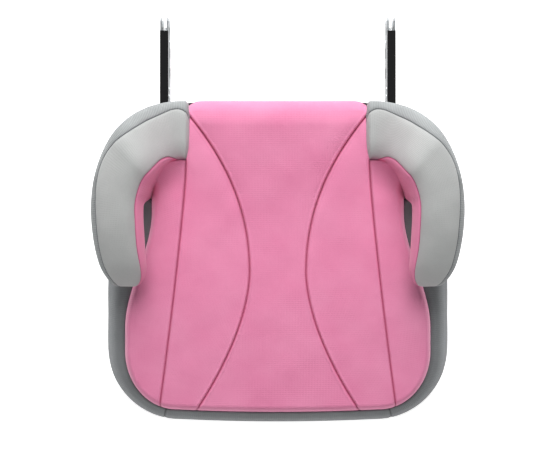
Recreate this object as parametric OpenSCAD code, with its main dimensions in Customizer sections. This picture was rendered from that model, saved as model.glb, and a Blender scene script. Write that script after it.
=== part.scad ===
// Backless booster seat with two rigid anchor arms that slide out of its back.
// +X is the sitter's right-hand side seen from above, +Y is towards the backrest, +Z is up.
// The origin is the middle of the overall footprint, on the surface that the seat stands on.

/* [Seat] */
// Overall width across the armrests
seat_w = 420; // [395:1:460]
// Depth from the front edge to the back edge, without the arms
seat_d = 391; // [360:1:430]
// Height of the padded sitting surface
seat_h = 127; // [118:1:140]
// Height of the highest point of the armrests
horn_h = 205; // [192:1:230]
// Corner radius of the outline at the front
front_r = 90; // [60:1:100]
// Corner radius of the outline at the back
back_r = 70; // [60:1:90]
// How far the middle of the front edge stands ahead of its ends
front_bow = 3; // [0:0.5:8]

/* [Cover] */
// Thickness of the fabric with its lining
cover_t = 3; // [2:0.5:4]
// Thickness of the quilted seat panels
panel_t = 8; // [5:1:12]
// Height of the seam between the seat panels and the skirt
seam_z = 104; // [96:1:112]
// How far the skirt leans in at that seam
skirt_lean = 26; // [18:1:34]
// How much further the skirt rises inwards beside the belt slot
slot_lean = 32; // [20:1:40]
// Half width of the front skirt between its two seams
front_seam_x = 139; // [120:1:150]
// Half width of the seat panels at the back edge
back_seam_x = 107; // [95:1:120]
// Half width of the middle panel at its waist
waist_x = 33; // [24:1:45]

/* [Armrests] */
// Width of an armrest along its side stretch
horn_w = 52; // [44:1:60]
// Height of the underside of the free end above the floor
horn_under_z = 150; // [142:1:160]
// How far back the free end's tip is from the front edge, on a seat of the usual depth
horn_tip_back = 172; // [150:1:200]
// Length of the belt slot under the armrest, on a seat of the usual depth
slot_l = 112; // [90:1:130]

/* [Shell] */
// Wall of the moulded shell
shell_t = 3; // [2:0.5:4]
// Depth of the moulded deck under the seam between the seat panels and the skirt
deck_drop = 10; // [6:1:16]
// Thickness of the base plate
plate_t = 3; // [2:0.5:4]
// How far the grip pads stand out below the base plate
pad_drop = 2; // [1:0.5:4]
// Radius of a grip pad
pad_r = 15; // [10:1:20]
// Gap between the cover and the shell
fit_gap = 0.4; // [0.3:0.1:1]

/* [Anchor arms] */
// Distance between the two arms, which is fixed by the anchorages in a car
arm_pitch = 280; // [260:1:300]
// Width of an arm
arm_w = 10; // [10:0.5:14]
// Height of the steel plates of an arm
arm_h = 30; // [28:1:36]
// Height of the arm's middle
arm_z = 39; // [36:1:46]
// How far the arms stand out behind the back edge
arm_reach = 107; // [90:1:130]
// Length of an arm
arm_len = 250; // [230:1:280]
// How far the arms slide in
arm_travel = 100; // [60:1:100]
// Thickness of each steel plate
plate_steel_t = 2; // [1.5:0.5:2.5]
// Thickness of the plastic cap on top of an arm
arm_cap_t = 2; // [1.5:0.5:3]
// Radius of the jaw's seat for the anchor bar
jaw_r = 3.1; // [3.05:0.05:3.2]
// Depth of the jaw's seat centre behind the tip
jaw_depth = 17; // [14:1:20]
// Spacing of the locking slots
slot_pitch = 25; // [22:1:28]
// Length of a locking slot
lock_slot_l = 13; // [10:1:16]
// Sideways and upward clearance of the arm in its rail
rail_gap = 1; // [0.8:0.1:1.5]
// Sheet thickness of the rail
rail_t = 1.8; // [1.5:0.1:2.5]

/* [Lock] */
// Travel of the adjuster handle
handle_travel = 10; // [8:1:12]
// Travel of each lock bolt
bolt_travel = 8; // [6:1:9]
// Radius of the bolt's cam pin
cam_pin_r = 3; // [2.5:0.5:4]
// Angle that a latch hook opens by
hook_angle = 30; // [20:1:32]

/* [Hidden] */
$fn = 48;

// places that follow from the driving sizes
half_w = seat_w / 2;
deck_z = seam_z - deck_drop;
front_y = -(seat_d + arm_reach) / 2;
back_y = front_y + seat_d;
tip_y = back_y + arm_reach;
side_front_y = front_y + front_bow;
skin = cover_t + fit_gap;
plate_z = pad_drop;
plate_top = plate_z + plate_t;

// smooth 0 to 1 step of v between a and b
function clamp01(v) = min(1, max(0, v));
function ease(a, b, v) = let(t = clamp01((v - a) / (b - a))) t * t * (3 - 2 * t);
function mix(a, b, t) = a + (b - a) * t;
// rounded corner profile: 0 at the edge, 1 once t reaches 1
function roll(t) = t >= 1 ? 1 : sqrt(max(0, 1 - (1 - t) * (1 - t)));

// ---- solids between two grids of points ----
// draws closed faces, turned the right way out whichever way the grids run
module closed_faces(points, faces) {
  parts = [for (f = faces, k = [1:len(f) - 2]) cross(points[f[0]], points[f[k]]) * points[f[k + 1]]];
  turned = parts * [for (v = parts) 1] > 0;
  polyhedron(points, turned ? [for (f = faces) [for (k = [len(f) - 1:-1:0]) f[k]]] : faces, convexity = 6);
}
// outer and inner are lists of rows; rows wrap round when wrap is true, and tip closes the last row
module slab(outer, inner, wrap = false, tip = false) {
  n = len(outer);
  m = len(outer[0]);
  last = wrap ? m - 1 : m - 2;
  half = n * m;
  function at(i, j) = i * m + (j % m);
  points = [for (row = outer) each row, for (row = inner) each row];
  over = [for (i = [0:n - 2], j = [0:last])
    each [[at(i, j), at(i, j + 1), at(i + 1, j + 1)], [at(i, j), at(i + 1, j + 1), at(i + 1, j)]]];
  under = [for (f = over) [f[0] + half, f[2] + half, f[1] + half]];
  foot = [for (j = [0:last])
    each [[at(0, j), at(0, j) + half, at(0, j + 1) + half], [at(0, j), at(0, j + 1) + half, at(0, j + 1)]]];
  top = [for (j = [0:last])
    each [[at(n - 1, j + 1), at(n - 1, j + 1) + half, at(n - 1, j) + half],
      [at(n - 1, j + 1), at(n - 1, j) + half, at(n - 1, j)]]];
  caps = [[for (j = [0:m - 1]) at(n - 1, j)], [for (j = [m - 1:-1:0]) at(n - 1, j) + half]];
  sides = wrap ? [] : [for (i = [0:n - 2]) each [
    [at(i + 1, 0), at(i + 1, 0) + half, at(i, 0) + half], [at(i + 1, 0), at(i, 0) + half, at(i, 0)],
    [at(i, m - 1), at(i, m - 1) + half, at(i + 1, m - 1) + half],
    [at(i, m - 1), at(i + 1, m - 1) + half, at(i + 1, m - 1)]]];
  closed_faces(points, concat(over, under, foot, tip ? caps : top, sides));
}

// ---- the body's outline ----
// extra inward lean of the side beside the belt slot, from 0 to 1 along y
usual_d = 391;
depth_scale = seat_d / usual_d;
horn_tip_y = front_y + horn_tip_back * depth_scale;
slot_back_y = horn_tip_y + slot_l * depth_scale;
function slot_share(y) = ease(horn_tip_y - 50, horn_tip_y + 65, y) * (1 - ease(slot_back_y - 18, slot_back_y + 8, y));

// levels of the skirt from hem to top seam: inset from the outline, height, share of the slot's lean
hem_lean = 4;
skirt_levels = [
  [hem_lean, plate_top + 4, 0], [1, plate_top + 15, 0], [0, 0.4 * seam_z, 0], [3, 0.62 * seam_z, 0.05],
  [0.5 * skirt_lean, 0.85 * seam_z, 0.3], [skirt_lean, seam_z, 1]
];
side_steps = 14;
// the front corner's arc starts just past the front seam, at every level's radius
arc_start = min(262, 268 - asin(max(0, front_seam_x - half_w + front_r) / (front_r - skirt_lean - cover_t)));
// how much of the side's lean the back takes
back_share = 0.12;
// left half of the outline from the front seam to the back seam, at a level inset by lean and g deeper,
// with share k of the slot's lean
function side_path(lean, g, k) =
  let(cf = [-half_w + front_r, side_front_y + front_r], cb = [-half_w + back_r, back_y - back_r], d = lean + g,
    db = back_share * lean + g)
  concat(
    [[-front_seam_x, side_front_y + d]],
    [for (i = [0:6]) let(a = mix(arc_start, 190, i / 6)) [cf.x + (front_r - d) * cos(a), cf.y + (front_r - d) * sin(a)]],
    [for (i = [0:side_steps]) let(y = mix(cf.y, cb.y, i / side_steps))
      [-half_w + d + k * slot_lean * slot_share(y), y]],
    [for (a = [170:-20:110]) [cb.x + (back_r - d) * cos(a), cb.y + (back_r - db) * sin(a)]],
    [[-back_seam_x, back_y - db]]
  );
function front_path(lean, g) = [for (i = [-4:4]) let(x = -i / 4 * front_seam_x)
  [x, front_y + front_bow * pow(i / 4, 2) + lean + g]];
function back_path(lean, g) = [for (i = [-2:2]) [i / 2 * back_seam_x, back_y - back_share * lean - g]];
// the whole outline, clockwise from the front seam on the left
function mirrored(path) = [for (i = [len(path) - 1:-1:0]) [-path[i].x, path[i].y]];
function inner_of(path) = [for (i = [1:len(path) - 2]) path[i]];
function whole_path(lean, g = 0, k = 0) = let(side = side_path(lean, g, k))
  concat(side, inner_of(back_path(lean, g)), mirrored(side), inner_of(front_path(lean, g)));

// a skirt strip: rows follow the path, columns climb the levels
slot_rise = 8;
function strip(path_of, g) = [for (l = skirt_levels) [for (p = path_of(l[0], g, l[2]))
  [p.x, p.y, l[1] + slot_rise * l[2] * slot_share(p.y) * (abs(p.x) > back_seam_x ? 1 : 0)]]];

module skirt_side() {
  path_of = function(lean, g, k) side_path(lean, g, k);
  difference() {
    slab(strip(path_of, cover_t), strip(path_of, 0));
    arm_window();
  }
}
module cover_skirt_left() { color("#6f6f71") skirt_side(); }
module cover_skirt_right() { color("#6f6f71") mirror([1, 0, 0]) skirt_side(); }
module cover_skirt_front() {
  path_of = function(lean, g, k) front_path(lean, g);
  color("#6f6f71") slab(strip(path_of, cover_t), strip(path_of, 0));
}
module cover_skirt_back() {
  path_of = function(lean, g, k) back_path(lean, g);
  color("#6f6f71") slab(strip(path_of, cover_t), strip(path_of, 0));
}

// ---- armrest edges in plan ----
// plan edges: a quarter ellipse round the back corner, then a gentle curve forward to the tip
horn_cy = slot_back_y - 22 * depth_scale;
horn_root_x = -back_seam_x - 1;
horn_root_w = 72 * depth_scale;
horn_root_y = back_y - horn_root_w;
function horn_inner_at(a) = [horn_root_x + (half_w - horn_w + horn_root_x) * -cos(a),
  horn_cy + (horn_root_y - horn_cy) * sin(a)];
function horn_outer_at(a) = [horn_root_x + (half_w + horn_root_x) * -cos(a), horn_cy + (back_y - horn_cy) * sin(a)];

// ---- the sitting surface ----
// the panels' outline lies just inside the skirt's top edge
rim = skirt_lean + cover_t + 0.3;
seat_front_y = side_front_y + rim;
seat_back_y = back_y - back_share * skirt_lean - cover_t - 0.3;
// distance inwards from the panels' outline at (x, y)
function rim_in(x, y) =
  let(hw = half_w - rim - slot_lean * slot_share(y), yf = seat_front_y, yb = seat_back_y,
    r = (y < 0 ? front_r : back_r) - rim, cy = y < 0 ? yf + r : yb - r,
    qx = abs(x) - (hw - r), qy = y < 0 ? cy - y : y - cy)
  qy <= 0 ? hw - abs(x) : qx <= 0 ? r - qy : r - norm([qx, qy]);
roll_r = 24;
dish = 7;
function seat_z(x, y) =
  seam_z + slot_rise * slot_share(y) * ease(0.5 * half_w, 0.8 * half_w, abs(x))
  + (seat_h - seam_z) * roll(rim_in(x, y) / roll_r)
  - dish * exp(-pow(x / 95, 2) - pow((y - back_y + 140) / 90, 2));

// panel seams: half width of the middle panel and of the thigh panels at y
waist_y = mix(seat_front_y, seat_back_y, 0.43);
function waist_seam(y) = y < waist_y
  ? waist_x + (96 - waist_x) * pow((waist_y - y) / (waist_y - seat_front_y), 1.9)
  : waist_x + (back_seam_x - waist_x) * pow((y - waist_y) / (seat_back_y - waist_y), 2);
function thigh_seam(y) = mix(front_seam_x, back_seam_x, clamp01((y - seat_front_y) / (horn_root_y - seat_front_y)));
rows = 22;
function row_y(i) = mix(seat_front_y, seat_back_y, i / rows);
// a seat panel between the half widths a(y) and b(y)
module seat_panel(a, b, cols) {
  top = [for (i = [0:rows]) let(y = row_y(i)) [for (j = [0:cols]) let(x = mix(a(y), b(y), j / cols))
    [x, y, seat_z(x, y)]]];
  low = [for (row = top) [for (p = row) p - [0, 0, panel_t]]];
  slab(low, top);
}
module thigh_panel() {
  seat_panel(function(y) -thigh_seam(y), function(y) -waist_seam(y), 4);
}
module cover_center_panel() {
  color("#e38dae") seat_panel(function(y) -waist_seam(y), function(y) waist_seam(y), 8);
}
module cover_thigh_panel_left() { color("#e38dae") thigh_panel(); }
module cover_thigh_panel_right() { color("#e38dae") mirror([1, 0, 0]) thigh_panel(); }

// the side panel runs from the thigh seam out to the skirt's seam, and stops short of the armrest's root
root_y = slot_back_y - 18 * depth_scale;
side_path_top = [for (p = side_path(skirt_lean, cover_t + 0.3, 1)) if (p.y < root_y && p.x < 0) p];
side_edge = concat(side_path_top, [for (a = [20:17:71]) horn_inner_at(a) + [5, -5]]);
module side_panel() {
  n = len(side_edge);
  top = [for (i = [0:n - 1]) let(y = mix(seat_front_y, horn_inner_at(90).y - 7, i / (n - 1)), s = -thigh_seam(y))
    [for (j = [0:4]) let(x = mix(side_edge[i].x, s, j / 4), yy = mix(side_edge[i].y, y, j / 4)) [x, yy, seat_z(x, yy)]]];
  low = [for (row = top) [for (p = row) p - [0, 0, panel_t]]];
  slab(low, top);
}
module cover_side_panel_left() { color("#e38dae") side_panel(); }
module cover_side_panel_right() { color("#e38dae") mirror([1, 0, 0]) side_panel(); }

foam_gap = 2;
module seat_foam() {
  inset = rim + 1;
  cols = 12;
  yf = side_front_y + inset;
  yb = seat_back_y - 1;
  // half width of the foam at y, inside the seam line
  function reach(y) =
    let(hw = half_w - inset - slot_lean * slot_share(y) - 1, r = (y < 0 ? front_r : back_r) - inset,
      q = y < 0 ? max(0, yf + r - y) : max(0, y - yb + r))
    hw - r + sqrt(max(1, r * r - q * q));
  top = [for (i = [0:18]) let(y = mix(yf, yb, i / 18)) [for (j = [0:cols]) let(x = reach(y) * (2 * j / cols - 1))
    [x, y, max(deck_z + 1, seat_z(x, y) - panel_t - foam_gap - 7 * (1 - clamp01(rim_in(x, y) / 16)))]]];
  low = [for (row = top) [for (p = row) [p.x, p.y, deck_z + 0.1]]];
  color("#e8e4d8") difference() {
    slab(low, top);
    for (s = [0, 1]) mirror([s, 0, 0]) translate([0, 0, deck_z - 1]) linear_extrude(60) horn_shadow(2);
  }
}

// ---- armrests ----
// stations along the armrest: 0 to 1 round the corner, 1 to 2 forward to the tip
horn_stations = [0, 0.12, 0.24, 0.36, 0.48, 0.6, 0.7, 0.78, 0.84, 0.92, 1, 1.15, 1.3, 1.45, 1.6, 1.7, 1.8, 1.88, 1.94, 1.98, 2];
function horn_plan(t, outer) = t <= 1
  ? (outer ? horn_outer_at(90 * (1 - t)) : horn_inner_at(90 * (1 - t)))
  : let(v = t - 1, tuck = 16 * pow(v, 2.2))
    [outer ? -half_w + tuck : -half_w + horn_w + 5 * pow(v, 1.5), mix(horn_cy, horn_tip_y, v)];
function horn_top(t) = t < 0.6 ? mix(seat_h + 12, horn_h, ease(0, 0.6, t))
  : horn_h - 34 * pow(clamp01((t - 0.6) / 1.4), 2.1);
function horn_low(t) = t < 0.8 ? seam_z + 2.5 : mix(seam_z + 2.5, horn_under_z, ease(0.8, 0.93, t));
// the tip is round: the last stations shrink
nose = 0.3;
function tip_share(t) = t < 2 - nose ? 1 : sqrt(max(0.0009, 1 - pow((t - 2 + nose) / nose, 2)));
// one ring at station t, inset by d, over the angles in list
function soft_pow(v) = sign(v) * pow(abs(v), 0.72);
function horn_ring(t, d, angles) =
  let(p = horn_plan(t, true), q = horn_plan(t, false), mid = (p + q) / 2, along = (p - q) / norm(p - q),
    k = tip_share(t), w = max(0.4, (norm(p - q) / 2 - d) * mix(0.5, 1, k)),
    hi = horn_top(t), lo = horn_low(t), h = max(0.4, ((hi - lo) / 2 - d) * k), mz = (hi + lo) / 2,
    back = t > 1.9 ? d * (t - 1.9) / 0.1 : 0)
  [for (a = angles) let(u = w * soft_pow(cos(a)), z = mz + h * soft_pow(sin(a)))
    [mid.x + along.x * u, mid.y + along.y * u + back, z]];
cap_angles = [40:15:130];
inner_angles = [130, 150, 170, 190, 210, 230];
outer_angles = [230, 250, 270, 290, 315, 340, 360, 380, 400];
function spread(r) = [for (a = r) a];
module horn_strip(angles) {
  slab([for (t = horn_stations) horn_ring(t, cover_t, angles)], [for (t = horn_stations) horn_ring(t, 0, angles)]);
}
module horn_cap() { horn_strip(spread(cap_angles)); }
module horn_inner() { horn_strip(inner_angles); }
module horn_outer() {
  difference() {
    horn_strip(outer_angles);
    translate([0, 0, deck_z]) linear_extrude(40) horn_foot(fit_gap);
  }
}
module cover_horn_cap_left() { color("#b9b9b9") horn_cap(); }
module cover_horn_cap_right() { color("#b9b9b9") mirror([1, 0, 0]) horn_cap(); }
module cover_horn_inner_left() { color("#e38dae") horn_inner(); }
module cover_horn_inner_right() { color("#e38dae") mirror([1, 0, 0]) horn_inner(); }
module cover_horn_outer_left() { color("#7b7b7d") horn_outer(); }
module cover_horn_outer_right() { color("#7b7b7d") mirror([1, 0, 0]) horn_outer(); }

// plan of the armrest's root, grown by g
module horn_shadow(g) {
  polygon(concat(
    [[horn_root_x + g, back_y], [horn_root_x + g, horn_root_y - g]],
    [for (a = [80:-10:20]) horn_inner_at(a) + [g, -g] * 0.8],
    [horn_inner_at(8) + [g, -g], horn_outer_at(8) - [4, g]], [[-half_w, back_y]]
  ));
}
// plan of the foot that joins an armrest to the deck, grown by g
module horn_foot(g) {
  lim_x = -half_w + skirt_lean + 9;
  far = [for (a = [85:-11:30]) let(p = horn_outer_at(a)) [max(p.x + 10, lim_x) - g, min(p.y - 12, back_y - 14) + g]];
  near = [for (a = [30:11:85]) let(p = horn_ring(1 - a / 90, skin + 1.5, [230])[0]) [p.x + g, p.y - g]];
  polygon(concat(far, near));
}

// ---- moulded shell ----
// levels of the shell's wall, inside the cover
shell_levels = [for (l = skirt_levels) if (l[1] < deck_z - 4) l];
shell_foot_z = plate_top + 1;
shell_top_lean = 0.72 * skirt_lean;
shell_middle = [0, (front_y + back_y) / 2];
// wall and deck in one: the wall's levels, then a small ring in the deck's middle
module shell_tray() {
  levels = concat([[hem_lean, shell_foot_z, 0]], [for (l = shell_levels) if (l[1] > shell_foot_z) l],
    [[shell_top_lean, deck_z, 0.6]]);
  function at_height(path, z) = [for (p = path) [p.x, p.y, z]];
  function middle(z) = at_height([for (p = whole_path(0)) shell_middle + 0.1 * (p - shell_middle)], z);
  function rows(g, down) = concat([for (l = levels) at_height(whole_path(l[0], g, l[2]), min(l[1], deck_z - down))],
    [middle(deck_z - down)]);
  slab(rows(skin + shell_t, shell_t), rows(skin, 0), wrap = true, tip = true);
}
screw_spots = [[-half_w + 34, front_y + 112], [-70, front_y + 50], [-half_w + 32, back_y - 112], [-100, back_y - 17]];
boss_r = 5.5;
screw_r = 1.9;
screw_l = 26;
head_r = 4;
head_h = 2.4;
foot_top_z = seam_z + 14;
boss_foot_z = plate_top + 4;
module seat_shell() {
  color("#3a3b3d") difference() {
    union() {
      shell_tray();
      for (s = [0, 1]) mirror([s, 0, 0]) {
        for (p = screw_spots) translate([p.x, p.y, boss_foot_z]) cylinder(r = boss_r, h = deck_z - boss_foot_z - 1);
        translate([0, 0, deck_z - 1]) linear_extrude(foot_top_z - deck_z + 1) horn_foot(0);
        horn_core(skin);
      }
    }
    for (s = [0, 1]) mirror([s, 0, 0]) {
      arm_window();
      translate([0, 0, deck_z - shell_t - 1]) linear_extrude(foot_top_z - deck_z + shell_t + 1) horn_foot(-shell_t - 1);
      horn_core(skin + shell_t);
      for (p = screw_spots) translate([p.x, p.y, boss_foot_z - 1]) cylinder(r = screw_r + 0.05, h = screw_l);
    }
  }
}
// the armrest's moulded core, one closed shape along the stations
module horn_core(g) {
  angles = concat(spread(cap_angles), inner_of(inner_angles), [for (a = outer_angles) if (a < 400) a]);
  rings = [for (t = horn_stations) horn_ring(t, g, angles)];
  n = len(rings);
  m = len(angles);
  side = [for (i = [0:n - 2], j = [0:m - 1]) let(k = (j + 1) % m)
    each [[i * m + j, i * m + k, (i + 1) * m + k], [i * m + j, (i + 1) * m + k, (i + 1) * m + j]]];
  ends = [[for (j = [m - 1:-1:0]) j], [for (j = [0:m - 1]) (n - 1) * m + j]];
  closed_faces([for (r = rings) each r], concat(side, ends));
}
// window for an arm in the back wall
module arm_window() {
  translate([-arm_pitch / 2 - arm_w / 2 - 5, back_y - 40, arm_z - arm_h / 2 - 8])
    cube([arm_w + 10, 60, arm_h + 14]);
}

// ---- base plate ----
plate_g = 5;
rail_half = arm_w / 2 + rail_gap + rail_t;
rail_low = arm_z - arm_h / 2 - rail_gap - rail_t;
rail_top = arm_z + arm_h / 2 + arm_cap_t + rail_gap + rail_t;
arm_x = arm_pitch / 2;
rail_front = tip_y - arm_len - arm_travel - 8;
rail_back = back_y - 9;
tab_open_y = tip_y - 72 - arm_travel - 4;
ear_y = [rail_front + 20, rail_front + 118];
ear_l = 13;
rivet_x = rail_half + 7;
rivet_r = 2;
bolt_y = tip_y - 41 - arm_travel;
bolt_l = lock_slot_l - 1;
bolt_h = 8;
bolt_z = arm_z - 7;
cam_z = plate_top + 8;
cam_t = 3;
handle_y = front_y + 36;
handle_w = 80;
pocket_w = handle_w + 16;
pocket_d = handle_travel + 34;
guide_x = 118;
guide_t = 8;
module base_plate() {
  color("#2f3032") difference() {
    union() {
      translate([0, 0, plate_z]) linear_extrude(plate_t) polygon(whole_path(hem_lean, plate_g));
      translate([0, 0, plate_z]) linear_extrude(boss_foot_z - plate_z - 0.4) difference() {
        polygon(whole_path(hem_lean, plate_g + 8));
        polygon(whole_path(hem_lean, plate_g + 10.5));
      }
      for (s = [0, 1]) mirror([s, 0, 0]) {
        for (p = screw_spots) translate([p.x, p.y, plate_z]) cylinder(r = 7, h = boss_foot_z - plate_z - 0.1);
        for (y = ear_y) translate([-arm_x - rail_half - ear_l, y - ear_l / 2, plate_z])
          cube([rail_half * 2 + ear_l, ear_l, rail_low - plate_z]);
        translate([-guide_x - guide_t / 2, bolt_y - bolt_l / 2 - 6, plate_z])
          cube([guide_t, bolt_l + 12, bolt_z + bolt_h / 2 + 5 - plate_z]);
        translate([-72, bolt_y - 26, plate_z]) cube([5, 40, cam_z - 0.2 - plate_z]);
        translate([-pocket_w / 2 - 3, handle_y - 20, plate_z]) cube([3, pocket_d + 6, 14]);
      }
      translate([-pocket_w / 2 - 3, handle_y + pocket_d - 20, plate_z]) cube([pocket_w + 6, 3, 14]);
    }
    for (s = [0, 1]) mirror([s, 0, 0]) {
      for (p = screw_spots) translate([p.x, p.y, plate_z - 1]) {
        cylinder(r = screw_r + 0.3, h = 12);
        cylinder(r = head_r + 0.3, h = 1 + head_h + 0.2);
      }
      for (p = pad_spots) translate([p.x, p.y, plate_z - 1]) cylinder(r = pad_r, h = 2);
      for (y = ear_y) translate([-arm_x - rivet_x, y, rail_low - 12]) cylinder(r = rivet_r + 0.05, h = 14);
      translate([-guide_x - guide_t, bolt_y - bolt_l / 2 - 0.5, bolt_z - bolt_h / 2 - 0.5])
        cube([guide_t * 2, bolt_l + 1, bolt_h + 1]);
    }
    translate([-pocket_w / 2, handle_y - 17, plate_z - 1]) cube([pocket_w, pocket_d - 3, 20]);
    translate([0, handle_y + pocket_d - 25, cam_z + cam_t / 2]) rotate([-90, 0, 0]) cylinder(r = rod_r + 0.5, h = 12);
  }
}
pad_spots = [[-half_w + 62, front_y + 70], [-half_w + 62, back_y - 62]];
module grip_pads() {
  color("#1c1c1d") for (s = [-1, 1], p = pad_spots)
    translate([s * p.x, p.y, 0]) cylinder(r = pad_r - 0.2, h = plate_z + 1);
}
module shell_screws() {
  color("#b5b8bb") for (s = [-1, 1], p = screw_spots) translate([s * p.x, p.y, plate_z + 0.2]) {
    cylinder(r = head_r, h = head_h);
    cylinder(r = screw_r, h = screw_l - 2);
  }
}
module hem_elastic() {
  color("#4c4c4e") translate([0, 0, plate_top + 0.6]) linear_extrude(2.6) difference() {
    polygon(whole_path(hem_lean));
    polygon(whole_path(hem_lean, cover_t));
  }
}

// ---- guide rails ----
module guide_rail() {
  h = rail_top - rail_low;
  color("#9a9da0") translate([-arm_x, rail_front, rail_low]) difference() {
    union() {
      translate([-rail_half, 0, 0]) cube([2 * rail_half, rail_back - rail_front, h]);
      for (y = ear_y) translate([-rail_half - ear_l, y - rail_front - ear_l / 2, 0]) cube([ear_l + 1, ear_l, rail_t]);
    }
    translate([-rail_half + rail_t, -1, rail_t]) cube([2 * (rail_half - rail_t), 400, h - 2 * rail_t]);
    translate([0, -1, rail_t + 2.2]) cube([20, 400, h - 2 * rail_t - 4.4]);
    translate([-rail_half + rail_t, tab_open_y - rail_front, -1]) cube([40, 400, rail_t + 4]);
    for (y = ear_y) translate([-rivet_x, y - rail_front, -1]) cylinder(r = rivet_r + 0.05, h = 10);
  }
}
module guide_rail_left() { guide_rail(); }
module guide_rail_right() { mirror([1, 0, 0]) guide_rail(); }
module rail_rivets() {
  color("#c3c5c7") for (s = [-1, 1], y = ear_y) translate([s * (arm_x + rivet_x), y, rail_low - 11]) {
    cylinder(r = rivet_r, h = 11 + rail_t);
    translate([0, 0, 11 + rail_t]) cylinder(r = 3.6, h = 1.4);
  }
}

// ---- anchor arms ----
arm_low = arm_z - arm_h / 2;
arm_high = arm_z + arm_h / 2;
jaw_y = tip_y - jaw_depth;
pivot = [tip_y - 27.5, arm_z - 6];
pivot_r = 2.5;
tail = 6.5;
arm_rivet_spots = [[tip_y - 96, arm_z + 6], [tip_y - 87, arm_z + 6], [tip_y - 189, arm_z + 6], [tip_y - 229, arm_z + 6]];
arm_rivet_r = 1.8;
slot_spots = [for (k = [0, 1, 3, 4]) bolt_y + k * slot_pitch];
// draws a profile of (y, z) points as a sheet of thickness t whose middle is at x
module sheet(x, t) { translate([x - t / 2, 0, 0]) rotate([90, 0, 90]) linear_extrude(t) children(); }
module plate_outline() {
  r = 4;
  difference() {
    union() {
      translate([tip_y - arm_len, arm_low]) square([arm_len - r, arm_h]);
      translate([tip_y - 2 * r, arm_low + r]) square([2 * r, arm_h - 2 * r]);
      for (z = [arm_low + r, arm_high - r]) translate([tip_y - r, z]) circle(r = r);
    }
    translate([jaw_y, arm_z]) circle(r = jaw_r);
    translate([jaw_y, arm_z - jaw_r]) square([jaw_depth + 1, 2 * jaw_r]);
    polygon([[tip_y - 9, arm_z - jaw_r], [tip_y + 1, arm_z - 8], [tip_y + 1, arm_z + 8], [tip_y - 9, arm_z + jaw_r]]);
    translate(pivot) circle(r = pivot_r + 0.02);
    for (p = arm_rivet_spots) translate(p) circle(r = arm_rivet_r + 0.02);
  }
}
module lock_slots() {
  for (y = slot_spots) translate([y - lock_slot_l / 2, bolt_z - bolt_h / 2 - 1]) square([lock_slot_l, bolt_h + 2]);
}
plate_off = arm_w / 2 - plate_steel_t / 2;
module arm_plate_outer() { color("#c9cbcd") sheet(-arm_x - plate_off, plate_steel_t) plate_outline(); }
module arm_plate_inner() {
  color("#c9cbcd") sheet(-arm_x + plate_off, plate_steel_t) difference() {
    plate_outline();
    lock_slots();
  }
}
module arm_plate_outer_left() { arm_plate_outer(); }
module arm_plate_outer_right() { mirror([1, 0, 0]) arm_plate_outer(); }
module arm_plate_inner_left() { arm_plate_inner(); }
module arm_plate_inner_right() { mirror([1, 0, 0]) arm_plate_inner(); }
gap_half = arm_w / 2 - plate_steel_t;
cap_front = tip_y - 150;
cap_back = tip_y - 16.2;
module arm_cover() {
  color("#1b1c1d") union() {
    translate([-arm_x - arm_w / 2 - 0.1, cap_front, arm_high]) cube([arm_w + 0.2, cap_back - cap_front, arm_cap_t]);
    translate([-arm_x - gap_half + 0.1, cap_front, arm_high - 2.4])
      cube([2 * gap_half - 0.2, cap_back - cap_front - 12, 2.4]);
  }
}
module arm_cover_left() { arm_cover(); }
module arm_cover_right() { mirror([1, 0, 0]) arm_cover(); }
module across(x, p, r, l) { translate([x - l / 2, p[0], p[1]]) rotate([0, 90, 0]) cylinder(r = r, h = l); }
module arm_spacers() {
  color("#8d9093") for (s = [-1, 1], p = arm_rivet_spots) difference() {
    across(s * arm_x, p, arm_rivet_r + 1.8, 2 * gap_half);
    across(s * arm_x, p, arm_rivet_r + 0.02, 2 * gap_half + 2);
  }
}
module headed_pin(x, p, r, head) {
  across(x, p, r, arm_w);
  for (s = [-1, 1]) across(x + s * (arm_w / 2 + 0.3), p, head, 0.6);
}
module arm_rivets() { color("#c3c5c7") for (s = [-1, 1], p = arm_rivet_spots) headed_pin(s * arm_x, p, arm_rivet_r, 2.8); }
module hook_pins() { color("#c3c5c7") for (s = [-1, 1]) headed_pin(s * arm_x, pivot, pivot_r, 3.6); }
tube_spot = [tip_y - arm_len + 12, arm_z];
module cross_tube() {
  l = arm_pitch - arm_w;
  color("#b9bcbf") difference() {
    across(0, tube_spot, 7, l);
    across(0, tube_spot, 5.2, l + 2);
  }
}

// ---- latch hooks and their release ----
hook_t = 3.6;
hook_x = -arm_x + gap_half - 0.4 - hook_t / 2;
throat_r = 3.5;
claw_r = 7.2;
module latch_hook() {
  color("#d5d7d8") {
    sheet(hook_x, hook_t) difference() {
      union() {
        translate(pivot) circle(r = 4.6);
        translate([jaw_y, arm_z]) difference() {
          circle(r = claw_r);
          circle(r = throat_r);
          polygon([[0, 0], [-20, 12], [-20, 30], [30, 30], [30, 2], [0, 2]]);
        }
        polygon([pivot + [-3, 2.6], pivot + [-3.4, -4], pivot + [8, -4.2], [jaw_y - 3.8, arm_z - 2.4], [jaw_y - 4.4, arm_z + 1]]);
        translate(pivot - [2.2, tail + 1.6]) square([4.4, tail]);
      }
      translate(pivot) circle(r = pivot_r + 0.05);
      translate([jaw_y, arm_z]) circle(r = throat_r);
    }
    across(-arm_x - 0.9, pivot - [0, tail], 1.1, 3.6);
  }
}
module latch_hook_left() { latch_hook(); }
module latch_hook_right() { mirror([1, 0, 0]) latch_hook(); }
module hook_springs() {
  color("#77797b") for (s = [-1, 1], k = [0, 1])
    translate([s * (arm_x + gap_half - 0.55 - 0.85 * k), pivot[0], pivot[1]])
      rotate([0, 90, 0]) rotate_extrude() translate([3.6, 0]) circle(r = 0.4, $fn = 16);
}
rod_z = arm_low - 0.4;
rod_h = 4.7;
rod_t = 1.4;
rod_x = -arm_x - gap_half + 0.35 + rod_t / 2;
tab_y = tip_y - 60;
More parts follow.
